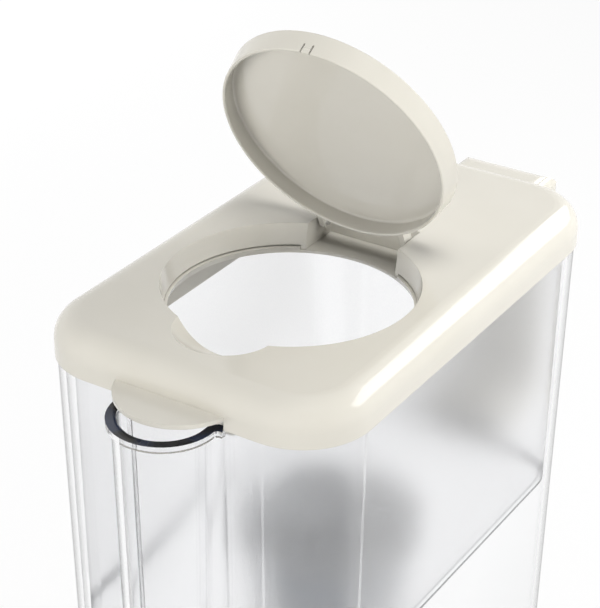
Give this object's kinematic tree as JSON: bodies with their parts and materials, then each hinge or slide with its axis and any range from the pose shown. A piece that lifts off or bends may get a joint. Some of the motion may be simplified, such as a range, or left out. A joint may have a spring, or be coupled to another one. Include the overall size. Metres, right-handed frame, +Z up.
{
  "type": "water filter pitcher",
  "caption": "Slim clear filter pitcher with a spout column, frosted hopper, filter cartridge, rear handle and a cream lid with a round flip lid.",
  "frame": {"origin": "centre of the clear body's plan, on the face that it rests on", "axes": "+Y towards the handle with the spout on -Y, +Z up, +X to the right for someone who faces the spout"},
  "size_m": [0.11, 0.2453, 0.3435],
  "materials": {
    "clear_plastic": "clear, polished",
    "frosted_plastic": "translucent, finely grained",
    "cream_plastic": "smooth satin gloss",
    "cartridge_plastic": "fine matte",
    "silicone": "soft matte",
    "fleece": "bonded fibre",
    "resin": "fine beads",
    "carbon": "fine granules",
    "steel": "bright drawn"
  },
  "bodies": {
    "pitcher": {"pitcher_body": "clear_plastic", "handle_frame": "cream_plastic", "handle_cover": "cream_plastic", "handle_screws": "steel"},
    "hopper": {"hopper": "frosted_plastic"},
    "lid": {"lid": "cream_plastic", "lid_liner": "cream_plastic", "hinge_pin": "steel"},
    "flip_lid": {"flip_lid": "cream_plastic"},
    "cartridge": {"cartridge_shell": "cartridge_plastic", "cartridge_cap": "cartridge_plastic", "cartridge_seal": "silicone", "inlet_screen": "fleece", "resin_bed": "resin", "bed_divider": "fleece", "carbon_bed": "carbon", "outlet_screen": "fleece"},
    "pull_ring": {"pull_ring": "cartridge_plastic"}
  },
  "joints": [
    {"name": "hopper_lift", "type": "slide", "parent": "pitcher", "child": "hopper", "axis": [0, 0, 1], "range_m": [0, 0.17]},
    {"name": "lid_lift", "type": "slide", "parent": "hopper", "child": "lid", "axis": [0, 0, 1], "range_m": [0, 0.06]},
    {"name": "flip_hinge", "type": "hinge", "parent": "lid", "child": "flip_lid", "pos_m": [0, 0.0221, 0.2628], "axis": [-1, 0, 0], "range_deg": [-66.6, 38.4]},
    {"name": "cartridge_lift", "type": "slide", "parent": "hopper", "child": "cartridge", "axis": [0, 0, 1], "range_m": [0, 0.055]},
    {"name": "ring_fold", "type": "hinge", "parent": "cartridge", "child": "pull_ring", "pos_m": [0, 0, 0.1758], "axis": [1, 0, 0], "range_deg": [0, 90]}
  ]
}
